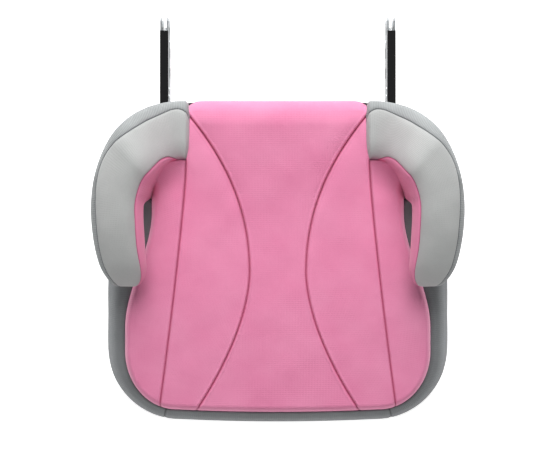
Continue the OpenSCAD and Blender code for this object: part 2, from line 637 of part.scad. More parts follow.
tab_l = 16;
module release_rod() {
  color("#8d9093") sheet(rod_x, rod_t) difference() {
    translate([tab_y - tab_l / 2, rod_z]) square([pivot[0] + 3.6 - tab_y + tab_l / 2, rod_h]);
    translate([pivot[0] - 1.35, rod_z + 1.2]) square([2.7, rod_h]);
  }
}
module release_rod_left() { release_rod(); }
module release_rod_right() { mirror([1, 0, 0]) release_rod(); }
module release_tab() {
  color("#a83434") translate([-arm_x - 3.8, tab_y - tab_l / 2, rod_z - 4]) difference() {
    cube([7.6, tab_l, 4]);
    for (k = [1:3]) translate([-1, k * tab_l / 4 - 0.7, -0.01]) cube([10, 1.4, 0.8]);
  }
}
module release_tab_left() { release_tab(); }
module release_tab_right() { mirror([1, 0, 0]) release_tab(); }

// ---- adjuster lock: handle, pull rod, cam plate and two bolts ----
bolt_tip = -arm_x + arm_w / 2 + 4.5;
cam_pin_x = -52;
bolt_root = cam_pin_x + 8;
module lock_bolt() {
  color("#aeb1b4") {
    translate([bolt_tip, bolt_y - bolt_l / 2, bolt_z - bolt_h / 2]) cube([bolt_root - bolt_tip, bolt_l, bolt_h]);
    translate([cam_pin_x, bolt_y, cam_z - 1]) cylinder(r = cam_pin_r, h = bolt_z - cam_z);
  }
}
module lock_bolt_left() { lock_bolt(); }
module lock_bolt_right() { mirror([1, 0, 0]) lock_bolt(); }
rod_r = 2.5;
module cam_plate() {
  slant = atan2(handle_travel, bolt_travel);
  run = norm([handle_travel, bolt_travel]);
  w = cam_pin_r + 0.35;
  color("#8d9093") difference() {
    translate([-76, bolt_y - 22, cam_z]) cube([152, 36, cam_t]);
    for (s = [0, 1]) mirror([s, 0, 0]) translate([cam_pin_x, bolt_y, cam_z - 1]) rotate(180 + slant) {
      translate([0, -w, 0]) cube([run, 2 * w, cam_t + 2]);
      cylinder(r = w, h = cam_t + 2);
      translate([run, 0, 0]) cylinder(r = w, h = cam_t + 2);
    }
  }
}
module pull_rod() {
  color("#9a9da0") translate([0, handle_y + 6, cam_z + cam_t / 2]) rotate([-90, 0, 0])
    cylinder(r = rod_r, h = bolt_y - 22 - handle_y - 6);
}
module adjuster_handle() {
  z = plate_z + 1;
  color("#c23b3b") difference() {
    translate([-handle_w / 2, handle_y - 12, z]) cube([handle_w, 18, cam_z + cam_t + 3 - z]);
    translate([-handle_w / 2 + 6, handle_y - 6, z - 1]) cube([handle_w - 12, 7, 9]);
  }
}

seat_shell();
base_plate();
shell_screws();
grip_pads();
seat_foam();
cover_center_panel();
cover_thigh_panel_left();
cover_thigh_panel_right();
cover_side_panel_left();
cover_side_panel_right();
cover_horn_cap_left();
cover_horn_cap_right();
cover_horn_inner_left();
cover_horn_inner_right();
cover_horn_outer_left();
cover_horn_outer_right();
cover_skirt_left();
cover_skirt_right();
cover_skirt_front();
cover_skirt_back();
hem_elastic();
guide_rail_left();
guide_rail_right();
rail_rivets();
arm_plate_outer_left();
arm_plate_outer_right();
arm_plate_inner_left();
arm_plate_inner_right();
arm_cover_left();
arm_cover_right();
arm_spacers();
arm_rivets();
cross_tube();
latch_hook_left();
latch_hook_right();
hook_pins();
hook_springs();
release_rod_left();
release_rod_right();
release_tab_left();
release_tab_right();
lock_bolt_left();
lock_bolt_right();
cam_plate();
pull_rod();
adjuster_handle();
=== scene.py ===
import math
import bpy
import numpy as np
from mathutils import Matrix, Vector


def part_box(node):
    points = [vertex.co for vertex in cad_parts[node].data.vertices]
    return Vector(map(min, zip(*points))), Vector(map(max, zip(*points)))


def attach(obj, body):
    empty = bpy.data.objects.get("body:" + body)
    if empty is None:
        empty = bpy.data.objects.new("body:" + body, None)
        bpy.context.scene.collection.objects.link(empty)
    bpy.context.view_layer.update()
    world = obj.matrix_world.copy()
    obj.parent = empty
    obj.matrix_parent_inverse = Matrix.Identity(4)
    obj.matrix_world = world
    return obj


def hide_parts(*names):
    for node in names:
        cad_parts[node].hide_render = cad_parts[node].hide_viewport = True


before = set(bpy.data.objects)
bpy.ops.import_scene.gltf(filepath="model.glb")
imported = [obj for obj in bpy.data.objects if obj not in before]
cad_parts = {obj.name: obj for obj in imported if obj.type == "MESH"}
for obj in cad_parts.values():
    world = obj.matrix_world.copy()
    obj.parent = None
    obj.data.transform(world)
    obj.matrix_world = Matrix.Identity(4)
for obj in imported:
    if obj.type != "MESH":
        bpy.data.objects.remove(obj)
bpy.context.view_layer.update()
scene = bpy.context.scene
scene.view_settings.view_transform = "Standard"
mm = 0.001                                   # shapes are worked out in millimetres and stored in metres
print("frame:", len(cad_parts), "nodes")

# places taken from the model
def corner(node, which):
    return np.array(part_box(node)[which]) / mm

halfW = -corner("cover_skirt_left", 0)[0]    # half width at the widest level
frontY = corner("cover_skirt_front", 0)[1]
backY = corner("cover_skirt_back", 1)[1]
hemZ = corner("cover_skirt_front", 0)[2]
seamZ = corner("cover_skirt_front", 1)[2]    # height of the seam between the seat panels and the skirt
tipY = corner("cover_horn_cap_left", 0)[1]   # free end of an armrest
hornTop = corner("cover_horn_cap_left", 1)[2]

# small pieces of maths
def clamp01(v):
    return np.clip(v, 0, 1)

def mix(a, b, t):
    return a + (b - a) * t

def ease(a, b, v):                           # smooth step from 0 at a to 1 at b
    t = clamp01((v - a) / (b - a))
    return t * t * (3 - 2 * t)

def roll(t):                                 # quarter circle: 0 and upright at 0, 1 and level at 1
    return np.sqrt(np.maximum(0, 1 - (1 - clamp01(t)) ** 2))

def bell(v, width):                          # 1 at 0, falling away smoothly on both sides
    return np.exp(-(v / width) ** 2)

def through(t, knots, values):
    # a smooth curve through values at knots: cubic pieces whose slopes are the mean slopes at each knot
    knots, values = np.asarray(knots, float), np.asarray(values, float)
    slope = np.gradient(values, knots)
    i = np.clip(np.searchsorted(knots, t) - 1, 0, len(knots) - 2)
    h = knots[i + 1] - knots[i]
    s = (t - knots[i]) / h
    return ((1 + 2 * s) * (1 - s) ** 2 * values[i] + s * (1 - s) ** 2 * h * slope[i]
            + s * s * (3 - 2 * s) * values[i + 1] + s * s * (s - 1) * h * slope[i + 1])

def ripple(p, size, seed):
    # gentle unevenness between -1 and 1: four crossed sine waves of about that size, in millimetres
    q = p / size * 2 * np.pi
    a = np.sin(q[..., 0] + 1.7 * seed) * np.cos(1.3 * q[..., 1] + seed)
    b = np.sin(0.8 * q[..., 1] - 0.6 * q[..., 0] + 2.1 * seed) * np.cos(0.9 * q[..., 2] + 0.4 * seed)
    return 0.5 * (a + b)

def closeEnds(n, power=1.6):                 # n values from 0 to 1, closer together at both ends
    s = np.linspace(-1, 1, n)
    return 0.5 + 0.5 * np.sign(s) * (1 - (1 - np.abs(s)) ** power)

def travelled(path):                         # distance along a path, from 0 at its first point
    return np.concatenate([[0], np.cumsum(np.linalg.norm(np.diff(path, axis=0), axis=1))])

def walkAlong(where, step, path):            # points of a path at set distances along it
    return np.stack([np.interp(where, step, path[:, k]) for k in range(path.shape[1])], 1)

# meshes
def orient(points, faces):
    # turns the faces round if the signed volume of the closed shape is negative
    tri = points[faces[:, :3]]
    volume = np.einsum("ij,ij->i", tri[:, 0], np.cross(tri[:, 1], tri[:, 2])).sum()
    tri = points[faces[:, [0, 2, 3]]]
    volume += np.einsum("ij,ij->i", tri[:, 0], np.cross(tri[:, 1], tri[:, 2])).sum()
    return faces if volume > 0 else faces[:, ::-1]

def meshPiece(name, points, faces, uv=None, sharp=48, seamShade=None):
    mesh = bpy.data.meshes.new(name)
    mesh.from_pydata((points * mm).tolist(), [], faces.tolist())
    if uv is not None:
        layer = mesh.uv_layers.new(name="cloth")
        index = np.zeros(len(mesh.loops), int)
        mesh.loops.foreach_get("vertex_index", index)
        layer.data.foreach_set("uv", (uv[index] * mm).astype(np.float32).ravel())
    if seamShade is not None:                     # painted seam shade: 1 in the bottom of a seam, 0 away from it
        depth = mesh.attributes.new("paintedSeamShade", "FLOAT", "POINT")
        depth.data.foreach_set("value", seamShade.astype(np.float32).ravel())
    mesh.polygons.foreach_set("use_smooth", np.ones(len(mesh.polygons), bool))
    mesh.set_sharp_from_angle(angle=math.radians(sharp))
    mesh.validate()
    piece = bpy.data.objects.new(name, mesh)
    scene.collection.objects.link(piece)
    return piece

def slabFaces(n, m, ring=False):
    # faces of two n x m grids, one over the other, joined round their borders
    # ring joins the last row to the first
    i, j = np.meshgrid(np.arange(n if ring else n - 1), np.arange(m - 1), indexing="ij")
    i, j = i.ravel(), j.ravel()
    k = (i + 1) % n
    over = np.stack([i * m + j, i * m + j + 1, k * m + j + 1, k * m + j], 1)
    under = over[:, ::-1] + n * m
    rows = np.arange(n if ring else n - 1)
    nxt = (rows + 1) % n
    end = m - 1
    left = np.stack([rows * m, nxt * m, nxt * m + n * m, rows * m + n * m], 1)
    right = np.stack([rows * m + end, rows * m + end + n * m, nxt * m + end + n * m, nxt * m + end], 1)
    sides = [left, right]
    if not ring:
        cols = np.arange(m - 1)
        last = (n - 1) * m + cols
        sides += [np.stack([cols, cols + n * m, cols + 1 + n * m, cols + 1], 1),
                  np.stack([last, last + 1, last + 1 + n * m, last + n * m], 1)]
    return np.concatenate([over, under, *sides])

def lengths(grid):
    # distance travelled over the grid, down its rows and along its columns, as two n x m arrays
    middle = grid.shape[1] // 2
    du = np.zeros(grid.shape[:2])
    dv = np.zeros(grid.shape[:2])
    du[1:] = np.cumsum(np.linalg.norm(np.diff(grid, axis=0), axis=2), axis=0)
    dv[:, 1:] = np.cumsum(np.linalg.norm(np.diff(grid, axis=1), axis=2), axis=1)
    u = np.broadcast_to(du[:, middle][:, None], du.shape)
    return np.stack([u, dv - dv[:, middle][:, None]], 2)

def slab(name, outer, inner, ring=False, seamShade=None):
    # a padded sheet: an outer and an inner grid closed round their borders
    n, m = outer.shape[:2]
    points = np.concatenate([outer.reshape(-1, 3), inner.reshape(-1, 3)])
    uv = lengths(outer).reshape(-1, 2)
    seamShades = None if seamShade is None else np.concatenate([seamShade.ravel(), seamShade.ravel()])
    faces = orient(points, slabFaces(n, m, ring))
    return meshPiece(name, points, faces, np.concatenate([uv, uv]), seamShade=seamShades)

def mirrored(grid):
    return grid * np.array([-1, 1, 1])

def finishPiece(piece, material, stands=()):
    piece.data.materials.append(material)
    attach(piece, "seat")
    if stands:
        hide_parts(*stands)
    return piece

# materials
waveTurn = 0.314                             # a wave texture's bands are this far apart, divided by its scale

def colour(hexText):                         # sRGB hex to linear
    v = np.array([int(hexText[k:k + 2], 16) / 255 for k in (1, 3, 5)])
    return tuple(np.where(v <= 0.04045, v / 12.92, ((v + 0.055) / 1.055) ** 2.4)) + (1.0,)

def addNode(tree, kind, settings=None, links=None):
    # adds one node: settings are its own properties or socket values, links are socket name or number: output
    node = tree.nodes.new(kind)
    for key, value in (settings or {}).items():
        if isinstance(key, str) and hasattr(node, key):
            setattr(node, key, value)
        else:
            node.inputs[key].default_value = value
    for key, output in (links or {}).items():
        tree.links.new(output, node.inputs[key])
    return node

def newMaterial(name):
    material = bpy.data.materials.new(name)
    material.use_nodes = True
    material.node_tree.nodes.clear()
    return material, material.node_tree

def closeMaterial(material, settings, links=None):
    # the shader with its constants and what drives it, and the output
    shader = addNode(material.node_tree, "ShaderNodeBsdfPrincipled", settings, links)
    addNode(material.node_tree, "ShaderNodeOutputMaterial", None, {"Surface": shader.outputs[0]})
    return material

def shadesBetween(tree, shades, factor):
    # colour variation between two shades, and a third, darker one, if given, painted as shade down in the seams
    both = addNode(tree, "ShaderNodeMix",
                   {"data_type": "RGBA", 6: colour(shades[0]), 7: colour(shades[1])}, {0: factor})
    if len(shades) == 3:
        # painted shade: the seam mask mixes the third shade in down in the seams
        seamShade = addNode(tree, "ShaderNodeAttribute", {"attribute_name": "paintedSeamShade"})
        both = addNode(tree, "ShaderNodeMix", {"data_type": "RGBA", 7: colour(shades[2])},
                       {0: seamShade.outputs["Fac"], 6: both.outputs[2]})
    return both.outputs[2]

# sizes in millimetres; real wales are about 0.8 apart and fibres far finer, and both are drawn coarser so that
# they show
jersey = dict(
    rough=0.82, wale=1.8, loopHeight=0.22, fibre=1.6, fibreHeight=0.12, cloud=45.0,
    # the third shade of each is painted seam shade, mixed in down in the seams
    pink=("#e684ab", "#ef95b9", "#b5446f"), lightGrey=("#b0b2b1", "#c0c1c0", "#6a6d6f"),
    midGrey=("#6a6d6f", "#7e8183", "#3c3e40"),
    pinkSheen=dict(weight=0.35, rough=0.45, tint="#ffe3ee"),
    greySheen=dict(weight=0.3, rough=0.45, tint="#f4f6f8"),
)

def knitJersey(name, shades, sheen):
    # polyester jersey, weft knitted and brushed: rows of loops, soft nap, cloudy tone, painted shade down in the
    # seams, and a pale bloom at grazing angles
    material, tree = newMaterial(name)
    uv = addNode(tree, "ShaderNodeUVMap", {"uv_map": "cloth"}).outputs[0]
    place = addNode(tree, "ShaderNodeTexCoord").outputs["Object"]
    wale, rough = jersey["wale"] * mm, jersey["rough"]
    cloud = addNode(tree, "ShaderNodeTexNoise", {"Scale": 1 / (jersey["cloud"] * mm), "Detail": 3.0,
                                                 "Roughness": 0.55}, {"Vector": place})
    fibre = addNode(tree, "ShaderNodeTexNoise", {"Scale": 1 / (jersey["fibre"] * mm), "Detail": 2.0},
                    {"Vector": place})
    # loops: a wave across the wales, one wale apart, and a longer one along the courses
    across = addNode(tree, "ShaderNodeTexWave", {"wave_type": "BANDS", "bands_direction": "Y",
                     "Scale": waveTurn / wale, "Distortion": 0.4, "Detail Scale": 2.0}, {"Vector": uv})
    along = addNode(tree, "ShaderNodeTexWave", {"wave_type": "BANDS", "bands_direction": "X",
                    "Scale": 0.25 / wale, "Distortion": 0.8, "Detail Scale": 2.0}, {"Vector": uv})
    loops = addNode(tree, "ShaderNodeMath", {"operation": "MULTIPLY"},
                    {0: across.outputs["Fac"], 1: along.outputs["Fac"]})
    mixed = addNode(tree, "ShaderNodeMath", {"operation": "MULTIPLY_ADD", 1: 0.35},
                    {0: fibre.outputs["Fac"], 2: cloud.outputs["Fac"]})
    shade = addNode(tree, "ShaderNodeMapRange", {"From Min": 0.35, "From Max": 1.0},
                    {"Value": mixed.outputs[0]})
    dull = addNode(tree, "ShaderNodeMapRange", {"To Min": rough - 0.08, "To Max": rough + 0.06},
                   {"Value": cloud.outputs["Fac"]})
    knit = addNode(tree, "ShaderNodeBump", {"Distance": jersey["loopHeight"] * mm, "Strength": 0.8},
                   {"Height": loops.outputs[0]})
    nap = addNode(tree, "ShaderNodeBump", {"Distance": jersey["fibreHeight"] * mm, "Strength": 0.6},
                  {"Height": fibre.outputs["Fac"], "Normal": knit.outputs[0]})
    return closeMaterial(material, {
        "Roughness": rough, "Specular IOR Level": 0.25, "Sheen Weight": sheen["weight"],
        "Sheen Roughness": sheen["rough"], "Sheen Tint": colour(sheen["tint"]),
    }, {"Base Color": shadesBetween(tree, shades, shade.outputs[0]), "Normal": nap.outputs[0],
        "Roughness": dull.outputs[0]})

# the third shade is painted seam shade, mixed in down in the seams
mesh = dict(shades=("#868989", "#b0b3b4", "#5d6062"), rough=0.8, rib=2.0, depth=0.3, cloud=50.0)

def spacerMesh(name):
    # polyester spacer mesh, warp knitted: upright ribs with open eyelets between them, matt, darker in the gaps,
    # with painted shade down in the seams
    material, tree = newMaterial(name)
    uv = addNode(tree, "ShaderNodeUVMap", {"uv_map": "cloth"}).outputs[0]
    place = addNode(tree, "ShaderNodeTexCoord").outputs["Object"]
    rib = mesh["rib"] * mm
    ribs = addNode(tree, "ShaderNodeTexWave", {"wave_type": "BANDS", "bands_direction": "X",
                   "Scale": waveTurn / rib, "Distortion": 0.3, "Detail Scale": 1.5}, {"Vector": uv})
    eyes = addNode(tree, "ShaderNodeTexWave", {"wave_type": "BANDS", "bands_direction": "Y",
                   "Scale": waveTurn / (rib * 0.8), "Distortion": 0.5}, {"Vector": uv})
    cells = addNode(tree, "ShaderNodeMath", {"operation": "MULTIPLY_ADD", 1: 0.45},
                    {0: eyes.outputs["Fac"], 2: ribs.outputs["Fac"]})
    cloud = addNode(tree, "ShaderNodeTexNoise", {"Scale": 1 / (mesh["cloud"] * mm), "Detail": 3.0},
                    {"Vector": place})
    both = addNode(tree, "ShaderNodeMath", {"operation": "MULTIPLY_ADD", 1: 0.55},
                   {0: cells.outputs[0], 2: cloud.outputs["Fac"]})
    shade = addNode(tree, "ShaderNodeMapRange", {"From Min": 0.3, "From Max": 1.4},
                    {"Value": both.outputs[0]})
    relief = addNode(tree, "ShaderNodeBump", {"Distance": mesh["depth"] * mm, "Strength": 0.9},
                     {"Height": cells.outputs[0]})
    return closeMaterial(material, {
        "Roughness": mesh["rough"], "Specular IOR Level": 0.2, "Sheen Weight": 0.25,
        "Sheen Roughness": 0.5, "Sheen Tint": colour("#d8dadc"),
    }, {"Base Color": shadesBetween(tree, mesh["shades"], shade.outputs[0]), "Normal": relief.outputs[0]})

moulded = dict(patch=30.0, relief=0.12)      # size of the worn patches and depth of the grain, in millimetres

def mouldedPlastic(name, shades, rough, grain, coat=0.0, gloss=0.5):
    # injection-moulded plastic: spark-eroded grain, drawn coarse so that it shows, rubbed smoother in patches
    material, tree = newMaterial(name)
    place = addNode(tree, "ShaderNodeTexCoord").outputs["Object"]
    grit = addNode(tree, "ShaderNodeTexNoise", {"Scale": 1 / (grain * mm), "Detail": 4.0}, {"Vector": place})
    wear = addNode(tree, "ShaderNodeTexNoise", {"Scale": 1 / (moulded["patch"] * mm), "Detail": 5.0,
                                                "Roughness": 0.65}, {"Vector": place})
    dull = addNode(tree, "ShaderNodeMapRange", {"To Min": rough - 0.1, "To Max": rough + 0.1},
                   {"Value": wear.outputs["Fac"]})
    relief = addNode(tree, "ShaderNodeBump", {"Distance": moulded["relief"] * mm, "Strength": 0.7},
                     {"Height": grit.outputs["Fac"]})
    return closeMaterial(material, {
        "Roughness": rough, "IOR": 1.49, "Specular IOR Level": gloss, "Coat Weight": coat,
        "Coat Roughness": 0.25,
    }, {"Base Color": shadesBetween(tree, shades, wear.outputs["Fac"]), "Normal": relief.outputs[0],
        "Roughness": dull.outputs[0]})

plated = dict(stretch=0.03, bloom=6.0, patch=20.0, relief=0.08)   # stretch draws the rolling lines out along y

def platedSteel(name, shades, rough, line):
    # zinc-plated sheet steel: fine rolling lines along the strip, faint bloom, duller where the plating is
    # rubbed; the lines are drawn coarse so that they show
    material, tree = newMaterial(name)
    place = addNode(tree, "ShaderNodeTexCoord").outputs["Object"]
    drawn = addNode(tree, "ShaderNodeMapping", {"Scale": (1.0, plated["stretch"], 1.0)}, {"Vector": place})
    lines = addNode(tree, "ShaderNodeTexNoise", {"Scale": 1 / (line * mm), "Detail": 3.0},
                    {"Vector": drawn.outputs[0]})
    bloom = addNode(tree, "ShaderNodeTexVoronoi", {"feature": "F1", "Scale": 1 / (plated["bloom"] * mm)},
                    {"Vector": place})
    wear = addNode(tree, "ShaderNodeTexNoise", {"Scale": 1 / (plated["patch"] * mm), "Detail": 5.0},
                   {"Vector": place})
    both = addNode(tree, "ShaderNodeMath", {"operation": "MULTIPLY_ADD", 1: 0.25},
                   {0: bloom.outputs["Distance"], 2: wear.outputs["Fac"]})
    dull = addNode(tree, "ShaderNodeMapRange", {"To Min": rough - 0.08, "To Max": rough + 0.14},
                   {"Value": wear.outputs["Fac"]})
    relief = addNode(tree, "ShaderNodeBump", {"Distance": plated["relief"] * mm, "Strength": 0.6},
                     {"Height": lines.outputs["Fac"]})
    return closeMaterial(material, {"Metallic": 1.0, "Roughness": rough},
                         {"Base Color": shadesBetween(tree, shades, both.outputs[0]),
                          "Normal": relief.outputs[0], "Roughness": dull.outputs[0]})

def mouldedRubber(name):
    # moulded rubber: matt black with dust in a fine pebble grain
    material, tree = newMaterial(name)
    place = addNode(tree, "ShaderNodeTexCoord").outputs["Object"]
    pebble = addNode(tree, "ShaderNodeTexVoronoi", {"feature": "SMOOTH_F1", "Scale": 1 / (1.8 * mm)},
                     {"Vector": place})
    dust = addNode(tree, "ShaderNodeTexNoise", {"Scale": 1 / (12 * mm), "Detail": 4.0}, {"Vector": place})
    relief = addNode(tree, "ShaderNodeBump", {"Distance": 0.3 * mm, "Strength": 0.8},
                     {"Height": pebble.outputs["Distance"]})
    return closeMaterial(material, {"Roughness": 0.85, "Specular IOR Level": 0.3},
                         {"Base Color": shadesBetween(tree, ("#161617", "#2b2b2c"), dust.outputs["Fac"]),
                          "Normal": relief.outputs[0]})

def cutFoam(name):
    # polyurethane foam, cut from a block: open cells that catch the light, slightly yellow
    material, tree = newMaterial(name)
    place = addNode(tree, "ShaderNodeTexCoord").outputs["Object"]
    cells = addNode(tree, "ShaderNodeTexVoronoi", {"feature": "F1", "Scale": 1 / (1.6 * mm)},
                    {"Vector": place})
    cloud = addNode(tree, "ShaderNodeTexNoise", {"Scale": 1 / (30 * mm), "Detail": 4.0}, {"Vector": place})
    relief = addNode(tree, "ShaderNodeBump", {"Distance": 0.5 * mm, "Strength": 0.9},
                     {"Height": cells.outputs["Distance"]})
    return closeMaterial(material, {"Roughness": 0.95, "Specular IOR Level": 0.15},
                         {"Base Color": shadesBetween(tree, ("#d6cfba", "#ece8dc"), cloud.outputs["Fac"]),
                          "Normal": relief.outputs[0]})

def wovenElastic(name):
    # woven elastic tape: cords across the tape, gathered, matt charcoal
    material, tree = newMaterial(name)
    uv = addNode(tree, "ShaderNodeUVMap", {"uv_map": "cloth"}).outputs[0]
    cords = addNode(tree, "ShaderNodeTexWave", {"wave_type": "BANDS", "bands_direction": "X",
                    "Scale": waveTurn / (1.6 * mm), "Distortion": 0.5}, {"Vector": uv})
    relief = addNode(tree, "ShaderNodeBump", {"Distance": 0.4 * mm, "Strength": 0.9},
                     {"Height": cords.outputs["Fac"]})
    return closeMaterial(material, {"Roughness": 0.8, "Specular IOR Level": 0.2},
                         {"Base Color": shadesBetween(tree, ("#2c2c2e", "#565659"), cords.outputs["Fac"]),
                          "Normal": relief.outputs[0]})

def sewingThread(name, shades):
    # twisted polyester thread: slight gloss, and a mottle from its twisted plies
    material, tree = newMaterial(name)
    place = addNode(tree, "ShaderNodeTexCoord").outputs["Object"]
    twist = addNode(tree, "ShaderNodeTexNoise", {"Scale": 1 / (1.2 * mm), "Detail": 2.0}, {"Vector": place})
    relief = addNode(tree, "ShaderNodeBump", {"Distance": 0.1 * mm, "Strength": 0.8},
                     {"Height": twist.outputs["Fac"]})
    return closeMaterial(material, {"Roughness": 0.55, "Sheen Weight": 0.2},
                         {"Base Color": shadesBetween(tree, shades, twist.outputs["Fac"]),
                          "Normal": relief.outputs[0]})

pinkJersey = knitJersey("pinkPolyesterJersey", jersey["pink"], jersey["pinkSheen"])
greyJersey = knitJersey("lightGreyPolyesterJersey", jersey["lightGrey"], jersey["greySheen"])
greyMesh = spacerMesh("darkGreySpacerMesh")
greySatin = knitJersey("midGreyPolyesterJersey", jersey["midGrey"], jersey["greySheen"])
pinkThread = sewingThread("rosePolyesterThread", ("#a83e68", "#bb4f79"))
elasticTape = wovenElastic("charcoalWovenElastic")
foamBlock = cutFoam("cutPolyurethaneFoam")
print("fabrics made")

# outline of the body
skirt = dict(
    frontRadius=90.0, backRadius=70.0,       # corners of the outline
    frontBow=3.0, frontSeamX=139.0, backSeamX=107.0,
    thickness=3.0, backShare=0.12, frontShare=0.7,               # share of the lean at the front and the back
    cornerTuck=2.2, cornerTuckX=(8.0, -22.0), cornerTuckY=(-30.0, -4.0),   # the back corners are drawn in
    slotLean=32.0, slotRise=8.0, slotLength=112.0,               # beside the belt slot
    slotStart=(-51.0, 85.0), slotEnd=(-18.0, 8.0),               # where the lean comes in and dies away
    stretches=(0.3, 0.7, 0.92),              # where the front corner, side and back corner end along a half
    lean=(4.0, 1.0, 0.0, 3.0, 13.0, 22.0, 27.5, 29.6),
    rise=(0.0, 0.115, 0.343, 0.584, 0.836, 0.955, 1.0, 0.985),   # share of the height from hem to seam
    slot=(0.0, 0.0, 0.0, 0.05, 0.3, 0.72, 1.0, 1.0),             # share of the lean beside the belt slot
    sideLength=620.0, endLength=260.0, height=110.0,             # rough lengths, for the widths of the seams
    sideRows=220, endRows=120, columns=46,
)
slotBackY = tipY + skirt["slotLength"]
cornerF = np.array([-halfW + skirt["frontRadius"], frontY + skirt["frontBow"] + skirt["frontRadius"]])
cornerB = np.array([-halfW + skirt["backRadius"], backY - skirt["backRadius"]])
frontSeamAngle = math.degrees(math.asin((skirt["frontSeamX"] + cornerF[0]) / skirt["frontRadius"]))

def slotShare(y, past=0):
    # 1 beside the belt slot, 0 well ahead of it and behind it; past carries it further back
    (start, full), (fade, stop) = skirt["slotStart"], skirt["slotEnd"]
    return (ease(tipY + start, tipY + full, y)
            * (1 - ease(slotBackY + fade + past, slotBackY + stop + past, y)))

def sidePath(s, lean, share):
    # left half of the outline at an inset: from the front seam round the front corner, along the side, round the
    # back corner to the back seam; s runs from 0 to 1 over the four stretches, and the corners are quarter ellipses
    r, q = skirt["frontRadius"], skirt["backRadius"]
    end1, end2, end3 = skirt["stretches"]
    a = np.radians(mix(270 - frontSeamAngle, 180, clamp01(s / end1)))
    leanF = lean * skirt["frontShare"]
    leanB = lean * skirt["backShare"]
    front = np.stack([cornerF[0] + (r - lean) * np.cos(a), cornerF[1] + (r - leanF) * np.sin(a)], -1)
    y = mix(cornerF[1], cornerB[1], clamp01((s - end1) / (end2 - end1)))
    side = np.stack([-halfW + lean + share * skirt["slotLean"] * slotShare(y), y], -1)
    b = np.radians(mix(180, 90, clamp01((s - end2) / (end3 - end2))))
    back = np.stack([cornerB[0] + (q - lean) * np.cos(b), cornerB[1] + (q - leanB) * np.sin(b)], -1)
    flatX = mix(cornerB[0], -skirt["backSeamX"], clamp01((s - end3) / (1 - end3)))
    flat = np.stack([flatX, backY - leanB + 0 * s], -1)
    out = np.where((s < end1)[..., None], front, side)
    out = np.where((s > end2)[..., None], back, out)
    out = np.where((s > end3)[..., None], flat, out)
    (x0, x1), (y0, y1) = skirt["cornerTuckX"], skirt["cornerTuckY"]
    tucked = (ease(backY + y0, backY + y1, out[..., 1])
              * ease(x0 - skirt["backSeamX"], x1 - skirt["backSeamX"], out[..., 0]))
    out[..., 1] -= skirt["cornerTuck"] * tucked
    return out

def frontLine(x):
    # the front edge of the outline: a bow up to the corners, then the corners' own circles
    bow = frontY + skirt["frontBow"] * np.minimum(1, (x / cornerF[0]) ** 2)
    past = np.maximum(0, np.abs(x) + cornerF[0])
    return bow + skirt["frontRadius"] - np.sqrt(np.maximum(1, skirt["frontRadius"] ** 2 - past ** 2))

def frontPath(s, lean):                      # the front edge from the left seam to the right one
    reach = (skirt["frontRadius"] - lean) * math.sin(math.radians(frontSeamAngle))
    x = mix(-1, 1, s) * (reach - cornerF[0])
    return np.stack([x, frontLine(x) + lean * skirt["frontShare"]], -1)

def backPath(s, lean):                       # the back edge from the left seam to the right one, straight
    x = mix(-skirt["backSeamX"], skirt["backSeamX"], s)
    return np.stack([x, backY - lean * skirt["backShare"] + 0 * s], -1)

def skirtGrid(path, s, levels, extra, isSide):
    # rows follow the path and columns climb from hem to seam; extra is a further inset, for the inner face and
    # the seams
    v = np.linspace(0, 1, len(skirt["lean"]))
    lean = through(levels, v, skirt["lean"])
    rise = through(levels, v, skirt["rise"])
    share = through(levels, v, skirt["slot"])
    rows, leans = np.meshgrid(s, lean, indexing="ij")
    shares = np.broadcast_to(share, rows.shape)
    z = hemZ + (seamZ - hemZ) * np.broadcast_to(rise, rows.shape)
    plan = path(rows, leans + extra, shares) if isSide else path(rows, leans + extra)
    if isSide:
        z = z + skirt["slotRise"] * shares * slotShare(plan[..., 1])
    return np.concatenate([plan, z[..., None]], -1)

def seamDrop(s, v, length, depth=1.3, width=6.0):
    # how far the cloth pulls in along its seams: a quarter-circle roll beside each end and above the hem,
    # and a bell along a line halfway up
    ends = np.minimum(s, 1 - s)[:, None] * length
    low = v[None, :] * skirt["height"]
    line = bell((v[None, :] - 0.47) * skirt["height"], 1.6)
    return depth * (1 - roll(ends / width)) + 0.8 * (1 - roll(low / 4)) + 0.9 * line

def skirtSeamShade(s, v, length):
    # painted seam shade: seams at both ends and along the top, each a narrow bell
    ends = np.minimum(s, 1 - s)[:, None] * length
    top = (1 - v)[None, :] * skirt["height"]
    return np.maximum(bell(ends, 1.2), 0.7 * bell(top, 1.5))

def finishSkirt(place, outer, inner, seamShade):
    finishPiece(slab("skirt" + place, outer, inner, seamShade=seamShade), greySatin,
                stands=["cover_skirt_" + place.lower().replace("side", "")])

levels = closeEnds(skirt["columns"], 1.3)
s = closeEnds(skirt["sideRows"], 1.25)
seamShade = skirtSeamShade(s, levels, skirt["sideLength"])
drop = seamDrop(s, levels, skirt["sideLength"])
outer = skirtGrid(sidePath, s, levels, drop, True)
outer[..., 0] += 0.35 * ripple(outer, 70, 1.0)
inner = skirtGrid(sidePath, s, levels, skirt["thickness"] + 0 * drop, True)
finishSkirt("SideLeft", outer, inner, seamShade)
finishSkirt("SideRight", mirrored(outer), mirrored(inner), seamShade)

s = closeEnds(skirt["endRows"], 1.25)
seamShade = skirtSeamShade(s, levels, skirt["endLength"])
drop = seamDrop(s, levels, skirt["endLength"])
outer = skirtGrid(frontPath, s, levels, drop, False)
inner = skirtGrid(frontPath, s, levels, skirt["thickness"] + 0 * drop, False)
inner[..., 1] += 0.5
finishSkirt("Front", outer, inner, seamShade)
outer = skirtGrid(backPath, s, levels, drop, False)
inner = skirtGrid(backPath, s, levels, skirt["thickness"] + 0 * drop, False)
outer[..., 1] -= drop                        # the back leans little: seams and thickness are added outright
inner[..., 1] -= skirt["thickness"]
finishSkirt("Back", outer, inner, seamShade)
print("skirt made")

